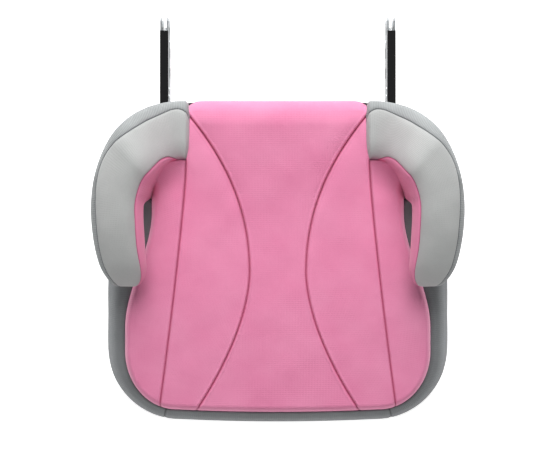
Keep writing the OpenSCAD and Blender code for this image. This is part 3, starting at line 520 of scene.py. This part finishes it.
# sitting surface
seat = dict(
    rimSide=29.0, rimFront=21.0, rimBack=6.6,    # inset of the panels' edge from the outline
    frontRoll=9.0, rearRoll=26.0, crown=23.0,    # how the edge rises to the top
    dish=7.0, dishX=95.0, dishY=90.0, dishBehind=140.0,
    waist=33.0, frontWaist=97.0, thickness=8.0,
    backRoll=6.2, rollDepth=22.0, rollDrop=5.0,  # how the back edge comes out over the skirt
    scoop=24.0, scoopRadius=34.0,                # concave rise in front of the armrest's root
    pastSlot=25.0, bowDepth=60.0,
    waistGroove=(1.6, 6.2), waistShoulder=(6.0, 24.0),   # depth and width of the seams' grooves, front and back
    thighGroove=(1.5, 2.6), thighShoulder=(6.0, 11.0), cut=1.1, cutWidth=1.1,
    middleRows=170, thighRows=160, columns=110, sideRows=200, sideColumns=60,
)
armWidth = 52.0                              # an armrest's width in plan
seatFrontY = frontY + skirt["frontBow"] + seat["rimFront"]
seatBackY = backY - seat["rimBack"]
waistY = tipY + 12
meetY = backY - 17                           # where the hourglass seam meets the armrest
rootX = -skirt["backSeamX"] - 1              # the armrest's root: its end, then its corner's middle and back
hornCy = slotBackY - 22
rootY = backY - 72

def panelHalf(y):                            # half width of the seat panels where no corner narrows them
    return halfW - seat["rimSide"] - skirt["slotLean"] * slotShare(y, seat["pastSlot"])

def rimIn(x, y):
    # distance inwards from the panels' outline, a box whose corners are quarter ellipses
    hw = panelHalf(y)
    ahead = y < 0
    rx = np.where(ahead, skirt["frontRadius"], skirt["backRadius"]) - seat["rimSide"]
    ry = np.where(ahead, skirt["frontRadius"] - seat["rimFront"], skirt["backRadius"] - seat["rimBack"])
    cy = np.where(ahead, seatFrontY + ry, seatBackY - ry)
    qx = np.abs(x) - (hw - rx)
    qy = np.where(ahead, cy - y, y - cy)
    e = np.maximum(1e-6, np.hypot(np.maximum(qx, 0) / rx, np.maximum(qy, 0) / ry))
    inCorner = np.hypot(np.maximum(qx, 0), np.maximum(qy, 0)) * (1 / e - 1)
    return np.where(qy <= 0, hw - np.abs(x), np.where(qx <= 0, ry - qy, inCorner))

def rootDistance(x, y):
    # distance from the armrest's inner wall: a quarter ellipse, then the corner and the end of its root
    px, py = (np.abs(x) + rootX), y - hornCy
    a, b = halfW - armWidth + rootX, rootY - hornCy
    e = np.maximum(1e-6, np.hypot(px / a, py / b))
    curved = np.hypot(px, py) * (1 / e - 1)
    beside = np.hypot(np.maximum(-px, 0), np.maximum(rootY - y, 0))
    return np.where(px > 0, np.where(py > 0, curved, a - px), beside)

def seatBase(x, y):
    # crowned top: a quarter-circle rise from the rim, less a shallow dish, and a concave rise to the
    # armrest's root
    lift = skirt["slotRise"] * slotShare(y) * ease(0.5 * halfW, 0.8 * halfW, np.abs(x))
    rollWidth = mix(seat["frontRoll"], seat["rearRoll"], ease(0, 120, y))
    crowned = (seat["crown"] + 1) * roll(rimIn(x, y) / rollWidth)
    dishY = (y - backY + seat["dishBehind"]) / seat["dishY"]
    dish = seat["dish"] * np.exp(-(x / seat["dishX"]) ** 2 - dishY ** 2)
    share = 1 - roll(rootDistance(x, y) / seat["scoopRadius"])
    height = (seat["scoop"] * ease(hornCy + 6, hornCy + 44, y)
              * (1 - 0.75 * ease(-16, 6, -(np.abs(x) + rootX))))
    return seamZ - 1 + lift + crowned - dish + height * share

def nearBack(y):                             # 0 over most of the seat, rising to 1 at its back edge
    return 1 - clamp01((seatBackY - y) / seat["rollDepth"])

def seatPoints(x, y):
    # the front edge follows the bow of the outline, and the back edge rolls out over the skirt and down
    fore = 1 - clamp01((y - seatFrontY) / seat["bowDepth"])
    aft = nearBack(y)
    bow = skirt["frontBow"] * (1 - np.minimum(1, (x / cornerF[0]) ** 2))
    rolled = seat["backRoll"] * aft ** 1.5 * (1 - 0.4 * ease(-rootX - 14, -rootX, np.abs(x)))
    return np.stack([x, y - bow * fore + rolled, seatBase(x, y) - seat["rollDrop"] * aft ** 6], -1)

def waistSeam(y):                            # hourglass seam: a power curve on each side of the waist
    ahead = clamp01((waistY + 3 - y) / (waistY + 3 - seatFrontY))
    behind = clamp01((y - waistY + 3) / (meetY - waistY + 3))
    below = mix(seat["waist"], seat["frontWaist"], ahead ** 1.75)
    above = mix(seat["waist"], skirt["backSeamX"], behind ** 2.2)
    return np.where(y < waistY, below, above)

def thighSeam(y):                            # straight seam from the front corner to the armrest's root
    back = clamp01((rootY - y) / (rootY - seatFrontY)) ** 1.25
    return mix(skirt["backSeamX"], skirt["frontSeamX"], back)

def seamDistance(seam, x, y):
    # distance across a seam: the distance along x, made shorter where the seam slopes
    slope = (seam(y + 0.5) - seam(y - 0.5))
    return np.abs(np.abs(x) - seam(y)) / np.sqrt(1 + slope ** 2)

def groove(x, y):
    # how deep the seams pull the padding down: a quarter-circle shoulder, wide and deep at the back and fine
    # at the front, with a narrow cut along the seam and a low lip beside it
    deep = ease(-90, 100, y)
    fromWaist, fromThigh = seamDistance(waistSeam, x, y), seamDistance(thighSeam, x, y)
    hour = mix(*seat["waistGroove"], deep) * (1 - roll(fromWaist / mix(*seat["waistShoulder"], deep)))
    straight = mix(*seat["thighGroove"], deep) * (1 - roll(fromThigh / mix(*seat["thighShoulder"], deep)))
    lip = 0.7 * bell(fromWaist - 2.6, 1.3) + 0.5 * bell(fromThigh - 2.4, 1.2)
    cut = bell(fromWaist, seat["cutWidth"]) + bell(fromThigh, seat["cutWidth"])
    return hour + straight + seat["cut"] * cut - lip * ease(0, 10, rimIn(x, y))

def seamShadeAt(x, y):
    # painted seam shade: how far down in a seam a point lies, a narrow bell round each seam line
    hidden = 200 * (y > rootY)               # under the armrest the thigh seam is put far away
    return bell(np.minimum(seamDistance(waistSeam, x, y), seamDistance(thighSeam, x, y) + hidden), 0.95)

def padded(name, x, y, stands, mirror=False):
    # a seat panel: the crowned top less its grooves, and an under side that draws in to the back edge
    soft = seatPoints(x, y)
    down = 0.35 * ripple(soft, 60, 2.0) * roll(rimIn(x, y) / 20) - groove(x, y)
    aft = nearBack(y)
    thick = seat["thickness"]
    grid = soft + np.stack([0 * x, down * aft * 0.6, down], -1)
    low = soft - np.stack([0 * x, thick * aft ** 2, thick * (1 - 0.5 * aft ** 4)], -1)
    if mirror:
        grid, low = mirrored(grid), mirrored(low)
    finishPiece(slab(name, grid, low, seamShade=seamShadeAt(x, y)), pinkJersey, stands=stands)

def rowsTo(endY, count):                     # rows of y over a panel, as a full grid
    y = mix(seatFrontY, endY, closeEnds(count, 1.7))
    return np.broadcast_to(y[:, None], (count, seat["columns"]))

across = closeEnds(seat["columns"], 1.5)[None, :]
y = rowsTo(seatBackY, seat["middleRows"])
padded("seatPanelMiddle", mix(-waistSeam(y), waistSeam(y), across), y, ["cover_center_panel"])
y = rowsTo(meetY - 1, seat["thighRows"])
for side in ("left", "right"):
    padded("seatPanelThigh" + side.title(), mix(-thighSeam(y), -waistSeam(y), across), y,
           ["cover_thigh_panel_" + side], mirror=side == "right")

def sideEdge(n):
    # outer edge of the side panel: a quarter ellipse round the front corner, along the skirt, then another along
    # the armrest's inner wall
    rx, ry = skirt["frontRadius"] - seat["rimSide"], skirt["frontRadius"] - seat["rimFront"]
    a = np.radians(np.linspace(270, 180, 400))
    arc = np.stack([cornerF[0] + rx * np.cos(a), seatFrontY + ry + ry * np.sin(a)], 1)
    y = np.linspace(arc[-1, 1], hornCy + 28, 400)[1:]
    straight = np.stack([-panelHalf(y), y], 1)
    b = np.radians(np.linspace(34, 88, 200))
    inside = 1.2                             # how far the edge stays inside the armrest's wall
    wall = np.stack([rootX - (halfW - armWidth + rootX - inside) * np.cos(b),
                     hornCy + (rootY - hornCy - inside) * np.sin(b)], 1)
    start = arc[arc[:, 0] < -skirt["frontSeamX"]]
    path = np.concatenate([[[-skirt["frontSeamX"], start[0, 1] - 0.3]], start, straight, wall])
    step = travelled(path)
    return walkAlong(np.linspace(0, step[-1], n), step, path)

edge = sideEdge(seat["sideRows"])
seamY = mix(seatFrontY + 0.6, rootY - 1.5, np.linspace(0, 1, len(edge)) ** 0.96)
t = closeEnds(seat["sideColumns"], 1.5)[None, :]
sideX = mix(edge[:, :1], -thighSeam(seamY)[:, None], t)
sideY = mix(edge[:, 1:], seamY[:, None], t)
for side in ("left", "right"):
    padded("seatPanelSide" + side.title(), sideX, sideY, ["cover_side_panel_" + side], mirror=side == "right")
print("seat panels made")

# armrests
horn = dict(
    thickness=3.0, power=0.72,               # power 1 is an ellipse, 0 is a box
    under=150.0, foot=seamZ - 16, rootTop=139.0, rootCrown=18.0, wallPower=0.35,
    leanAt=(0.0, 0.15, 0.3, 0.45, 0.6, 0.8, 1.0),
    footLean=(0.0, -5.0, -9.0, -6.0, 2.0, 5.0, 5.0),             # how far in the wall's foot stands
    tuck=16.0, innerTuck=5.0, nose=0.3, tipFall=35.0, wallLean=9.0, rootTuck=2.5, blend=0.16, endRoll=5.0,
    seamDepth=1.5, seamRoll=5.0, crest=0.6, free=(0.84, 0.97),
    stations=130, columns=48, underAngle=232.0,                  # the inner and outer pieces meet underneath
)

def hornRing(t, angle, inset):
    # a rounded-square section carried along the armrest's plan: a quarter ellipse round the corner, then forward
    # to the tip, with the turn between the two eased by a hyperbola; below t = 0 it closes over the root's end
    t, angle = np.broadcast_arrays(t, angle)
    end = clamp01(-t)
    t = np.maximum(t, 0)
    soft = np.sqrt((1 - t) ** 2 + horn["blend"] ** 2)
    a = np.radians(90 * np.minimum(1, (soft + 1 - t) / 2))
    v = (soft - 1 + t) / 2
    outX = rootX - (halfW + rootX) * np.cos(a) + horn["tuck"] * v ** 2.2
    outY = (hornCy + (backY - hornCy) * np.sin(a) + (tipY - hornCy) * v
            - horn["rootTuck"] * (1 - ease(0, 0.42, t)))
    inX = rootX - (halfW - armWidth + rootX) * np.cos(a) + horn["innerTuck"] * v ** 1.5
    inY = hornCy + (rootY - hornCy) * np.sin(a) + (tipY - hornCy) * v
    half = np.hypot(outX - inX, outY - inY) / 2
    ux, uy = (outX - inX) / (2 * half), (outY - inY) / (2 * half)
    crest = horn["crest"]                    # the highest station: the top climbs to it and falls to the tip
    fallen = horn["tipFall"] * clamp01((t - crest) / (2 - crest)) ** 2.6
    high = np.where(t < crest, mix(horn["rootTop"], hornTop, ease(0, crest, t)), hornTop - fallen)
    low = mix(horn["foot"], horn["under"], ease(0.8, 0.95, t))
    crown = (mix(horn["rootCrown"], (hornTop - horn["under"]) / 2, ease(0, 0.4, t))
             - np.where(t > crest, (hornTop - high) / 2, 0))
    middle = high - crown                    # the widest level: the crown is over it, the wall under it
    nose = clamp01((t - 2 + horn["nose"]) / horn["nose"])
    k = np.where(nose > 0, np.sqrt(np.maximum(0.0009, 1 - nose ** 2)), 1)
    close = np.sqrt(np.maximum(0, 1 - end ** 2))
    w = np.maximum(0.4, (half - inset) * mix(0.45, 1, k) * mix(0.1, 1, close))
    c, s = np.cos(np.radians(angle)), np.sin(np.radians(angle))
    h = np.maximum(0.4, (np.where(s > 0, crown, middle - low) - inset) * k * mix(0.1, 1, close))
    rooted = 1 - ease(*horn["free"], t)      # 1 where the wall stands on the base, 0 along the free arm
    power = np.where(s > 0, horn["power"], mix(horn["power"], horn["wallPower"], rooted))
    u = w * np.sign(c) * np.abs(c) ** power
    rise = np.sign(s) * np.abs(s) ** power
    lean = through(np.minimum(t, 1), horn["leanAt"], horn["footLean"])
    u = u - lean * rooted * clamp01(c * 3) * clamp01(-rise) ** 2 * k   # the foot flares over the base's corner
    leanIn = clamp01(-c) * (1 - (rise + 1) / 2) * k * ease(0.15, 0.6, t)
    u = u - horn["wallLean"] * leanIn        # the inner wall leans in at its foot
    back = np.where(t > 1.9, inset * (t - 1.9) / 0.1, 0)
    return np.stack([(outX + inX) / 2 + ux * u + horn["endRoll"] * end, (outY + inY) / 2 + uy * u + back,
                     middle + h * rise], -1)

# angles round the ring where the cap meets the outer side and the inner wall, from root to tip
outerT = np.array([0, 0.05, 0.1, 0.15, 0.2, 0.25, 0.3, 0.38, 0.5, 0.6, 0.75, 0.9, 1, 1.15, 1.5, 1.85, 2])
outerSeam = np.array([60, 52, 52, 56.5, 61, 64, 65.5, 67, 62.5, 53, 42, 45, 48, 50.5, 48.5, 49, 52])
innerT = np.array([0, 0.1, 0.15, 0.2, 0.3, 0.4, 0.5, 0.6, 0.8, 1, 1.2, 1.6, 1.85, 2])
innerSeam = np.array([181, 171, 157, 146, 143.5, 151, 155.5, 153, 152.5, 150.5, 151, 152.5, 163, 175])

def stationList(n):
    # stations from -1 over the root's end to 2 at the tip, closer together where the section closes
    noseFrom = 2 - horn["nose"]
    root = -np.sin(np.radians(90 * np.linspace(1, 0, n // 8)))[:-1]
    tip = noseFrom + horn["nose"] * np.sin(np.radians(90 * np.linspace(0, 1, n // 3)[1:]))
    return np.concatenate([root, noseFrom * np.linspace(0, 1, n), tip])

stations = stationList(horn["stations"])[:, None]
seamA = through(np.maximum(0, stations), outerT, outerSeam)
seamB = through(np.maximum(0, stations), innerT, innerSeam)
belly = horn["underAngle"] + 0 * seamA
strips = {
    "Cap": (seamA, seamB, "cover_horn_cap_", greyJersey, "light_grey_fabric"),
    "Inner": (seamB, belly, "cover_horn_inner_", pinkJersey, "pink_fabric"),
    "Outer": (belly, 360 + seamA, "cover_horn_outer_", greyMesh, "dark_grey_fabric"),
}
for part, (start, stop, node, material, slotName) in strips.items():
    q = closeEnds(horn["columns"], 1.5)[None, :]
    angle = mix(start, stop, q)
    girth = (stop - start) * 0.5             # about half a millimetre to a degree
    edgeIn = np.minimum(q, 1 - q) * girth
    inset = horn["seamDepth"] * (1 - roll(edgeIn / horn["seamRoll"]))
    outer = hornRing(stations, angle, inset)
    bulge = 0.4 * ripple(outer, 55, 3.0) * roll(edgeIn / 8)
    outer = outer + bulge[..., None] * np.array([0.5, 0.5, 1])
    inner = hornRing(stations, angle, horn["thickness"] + 0 * inset)
    # painted seam shade along both stitched edges of each strip
    seamShade = 0.85 * bell(edgeIn, 0.9)
    for side, grids in (("left", (outer, inner)), ("right", (mirrored(outer), mirrored(inner)))):
        finishPiece(slab("armrest" + part + side.title(), *grids, seamShade=seamShade), material,
                    stands=[node + side])
print("armrests made")

# foam under the seat panels
foam = dict(inset=32.0, endGap=4.0, under=2.0, edgeDrop=7.0, edgeWidth=16.0, rows=90, columns=70)
foamFront, foamBack = seatFrontY + foam["endGap"], seatBackY - foam["endGap"]
y = mix(foamFront, foamBack, closeEnds(foam["rows"], 1.5))
r = np.where(y < 0, skirt["frontRadius"], skirt["backRadius"]) - foam["inset"]
q = np.where(y < 0, np.maximum(0, foamFront + r - y), np.maximum(0, y - foamBack + r))
reach = (halfW - foam["inset"] - skirt["slotLean"] * slotShare(y) - 1
         - r + np.sqrt(np.maximum(1, r * r - q * q)))
x = reach[:, None] * (2 * closeEnds(foam["columns"], 1.5)[None, :] - 1)
y = np.broadcast_to(y[:, None], x.shape)
deckZ = corner("seat_foam", 0)[2]
edgeDrop = foam["edgeDrop"] * (1 - clamp01(rimIn(x, y) / foam["edgeWidth"]))
topZ = np.maximum(deckZ + 1, seatBase(x, y) - seat["thickness"] - foam["under"] - edgeDrop)
underArmrest = (np.abs(x) > -rootX - 4) & (y > hornCy + 15)
topZ = np.where(underArmrest, np.minimum(topZ, deckZ + 1), topZ)
block = slab("seatFoam", np.stack([x, y, topZ], -1), np.stack([x, y, deckZ + 0 * x], -1))
finishPiece(block, foamBlock, stands=["seat_foam"])

# elastic in the skirt's hem
hem = dict(
    lean=4.0, depth=(0.6, 3.0), gather=0.4, turn=1.9,            # faces' inset, and the gathers' depth and pace
    levels=8, sideRows=260, frontRows=60, backRows=40,
)

def between(n):                              # n values from 0 to 1, less the two ends
    return np.linspace(0, 1, n)[1:-1]

s = np.linspace(0, 1, hem["sideRows"])
half = sidePath(s, np.full_like(s, hem["lean"]), np.zeros_like(s))
front = frontPath(between(hem["frontRows"]), hem["lean"])[::-1]
back = backPath(between(hem["backRows"]), hem["lean"])
loop = np.concatenate([half, back, (half * np.array([-1, 1]))[::-1], front])
inward = loop.mean(0) - loop
inward = inward / np.linalg.norm(inward, axis=1)[:, None]
gather = hem["gather"] * np.sin(np.arange(len(loop)) * hem["turn"])[:, None]
hemRise = mix(corner("hem_elastic", 0)[2], corner("hem_elastic", 1)[2], np.linspace(0, 1, hem["levels"]))

def bandGrid(depth):
    # the outline, moved inwards by a depth and a sine for the gathers, and carried straight up the tape's width
    plan = (loop + inward * (depth + gather))[:, None, :]
    size = (len(loop), hem["levels"])
    return np.concatenate([np.broadcast_to(plan, size + (2,)), np.broadcast_to(hemRise, size)[..., None]], -1)

band = slab("hemElastic", bandGrid(hem["depth"][0]), bandGrid(hem["depth"][1]), ring=True)
finishPiece(band, elasticTape, stands=["hem_elastic"])

# stitching
thread = dict(pitch=4.0, length=3.0, radius=0.42, dip=0.35, proud=0.25, rings=5)

def stitches(name, path):
    # a row of thread stitches along a path over the seat: six-sided capsules whose ends dip into the cloth
    sides, rings = 6, thread["rings"]
    step = travelled(path)
    where = np.arange(thread["pitch"], step[-1] - thread["pitch"], thread["pitch"])
    at = walkAlong(where, step, path)
    ahead = walkAlong(where + 1, step, path) - at
    ahead /= np.linalg.norm(ahead, axis=1)[:, None]
    rise = np.array([0.0, 0.0, 1.0]) - ahead * ahead[:, 2:]
    rise /= np.linalg.norm(rise, axis=1)[:, None]
    beside = np.cross(ahead, rise)
    a = np.linspace(0, 2 * np.pi, sides, endpoint=False)
    l = np.linspace(-1, 1, rings)
    fat = thread["radius"] * np.sqrt(np.maximum(0.05, 1 - l ** 4))
    along = np.repeat(l * thread["length"] / 2, sides)
    over = (fat[:, None] * np.cos(a)).ravel()
    up = (fat[:, None] * np.sin(a) - thread["dip"] * (l ** 2)[:, None] * thread["radius"] * 2).ravel()
    points = (at[:, None] + along[None, :, None] * ahead[:, None] + over[None, :, None] * beside[:, None]
              + up[None, :, None] * rise[:, None])
    i, j = np.meshgrid(np.arange(rings - 1), np.arange(sides), indexing="ij")
    i, j = i.ravel(), j.ravel()
    k = (j + 1) % sides
    walls = np.stack([i * sides + j, i * sides + k, (i + 1) * sides + k, (i + 1) * sides + j], 1)
    cap = np.stack([[0, 5, 4, 3], [0, 3, 2, 1]])
    one = orient(points[0], np.concatenate([walls, cap, cap[:, ::-1] + (rings - 1) * sides]))
    faces = (one[None] + (np.arange(len(at)) * rings * sides)[:, None, None]).reshape(-1, 4)
    return meshPiece(name, points.reshape(-1, 3), faces, sharp=180)

def seatSeamPath(seam, y0, y1, sign):
    # a seam's line on the left half of the seat, down in its groove and a little proud; sign -1 mirrors it
    y = np.linspace(y0, y1, 400)
    line = seatPoints(-seam(y), y)
    line[:, 2] += thread["proud"] - groove(-seam(y), y)
    return line * np.array([sign, 1, 1])

for side, sign in (("Left", 1), ("Right", -1)):
    for name, seam, stop in (("waist", waistSeam, meetY - 6), ("thigh", thighSeam, rootY - 3)):
        row = stitches(name + "Stitches" + side, seatSeamPath(seam, seatFrontY + 6, stop, sign))
        finishPiece(row, pinkThread)
print("stitching made")

# finishes of the moulded and metal parts
shellPlastic = mouldedPlastic("charcoalPolypropylene", ("#2c2d30", "#3a3b3e"), 0.55, 0.8)
capPlastic = mouldedPlastic("blackNylonCap", ("#0a0a0b", "#131314"), 0.7, 0.5, gloss=0.2)
redPlastic = mouldedPlastic("redAcetal", ("#a52a2c", "#c03535"), 0.4, 0.5, coat=0.15)
padRubber = mouldedRubber("blackRubber")
armSteel = platedSteel("zincPlatedSteelArm", ("#686b6d", "#909395"), 0.42, 0.4)
hookSteel = platedSteel("hardenedSteelHook", ("#aeb2b4", "#d9dcdd"), 0.26, 0.3)
railSteel = platedSteel("galvanisedSteel", ("#8f9496", "#b9bdbf"), 0.42, 0.5)
wireSteel = platedSteel("springWire", ("#5d6062", "#85888a"), 0.35, 0.3)
finishes = {
    "seat_shell": shellPlastic, "base_plate": shellPlastic, "grip_pads": padRubber, "shell_screws": railSteel,
    "guide_rail": railSteel, "rail_rivets": hookSteel, "arm_plate": armSteel, "arm_cover": capPlastic,
    "arm_spacers": railSteel, "arm_rivets": hookSteel, "cross_tube": railSteel, "latch_hook": hookSteel,
    "hook_pins": hookSteel, "hook_springs": wireSteel, "release_rod": railSteel, "release_tab": redPlastic,
    "lock_bolt": hookSteel, "cam_plate": railSteel, "pull_rod": railSteel, "adjuster_handle": redPlastic,
}
for name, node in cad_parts.items():
    match = [m for key, m in finishes.items() if name.startswith(key)]
    if match:
        node.data.materials.clear()
        node.data.materials.append(match[0])
print("finishes set")

# camera, floor and light, in metres
studio = dict(
    height=1.466, ahead=-0.0066, lens=75.0, shift=-0.0051,
    floorHalf=6.0, floorZ=-0.0006, floorGlow=0.8, worldLight=0.12,
    keyPlace=(0, 1.85, 1.6), keySize=(2.8, 1.3), keyPower=84,
    fillPlace=(0, -1.6, 0.9), fillSize=(1.6, 1.0), fillPower=7,
)
camera = bpy.data.objects.new("camera", bpy.data.cameras.new("camera"))
scene.collection.objects.link(camera)
camera.location = (0, studio["ahead"], studio["height"])
camera.data.lens = studio["lens"]
camera.data.sensor_width = 36
camera.data.shift_x = studio["shift"]
camera.data.clip_end = 20
scene.camera = camera

# a pale painted floor, matt, with a glow of its own that keeps it near white
floorMaterial, tree = newMaterial("paleStudioFloor")
closeMaterial(floorMaterial, {
    "Roughness": 0.9, "Specular IOR Level": 0.0, "Base Color": colour("#f4f4f4"),
    "Emission Color": colour("#ffffff"), "Emission Strength": studio["floorGlow"]})
square = np.array([[-1, -1, 0], [1, -1, 0], [1, 1, 0], [-1, 1, 0]], float)
floorPoints = (square * studio["floorHalf"] + np.array([0, 0, studio["floorZ"]])) / mm
floor = meshPiece("studioFloor", floorPoints, np.array([[0, 1, 2, 3]]))
floor.data.materials.append(floorMaterial)

def softLight(name, place, size, power, target=(0, 0, 0.1)):
    data = bpy.data.lights.new(name, "AREA")
    data.shape, data.size, data.size_y, data.energy = "RECTANGLE", size[0], size[1], power
    light = bpy.data.objects.new(name, data)
    scene.collection.objects.link(light)
    away = np.array(place) - np.array(target)
    away = away / np.linalg.norm(away)
    light.rotation_euler = (0, math.acos(away[2]), math.atan2(away[1], away[0]))
    light.location = place

softLight("keyFromBack", studio["keyPlace"], studio["keySize"], studio["keyPower"])
softLight("frontFill", studio["fillPlace"], studio["fillSize"], studio["fillPower"])
world = bpy.data.worlds.new("studio")
scene.world = world
world.use_nodes = True
world.node_tree.nodes["Background"].inputs["Color"].default_value = colour("#ffffff")
world.node_tree.nodes["Background"].inputs["Strength"].default_value = studio["worldLight"]
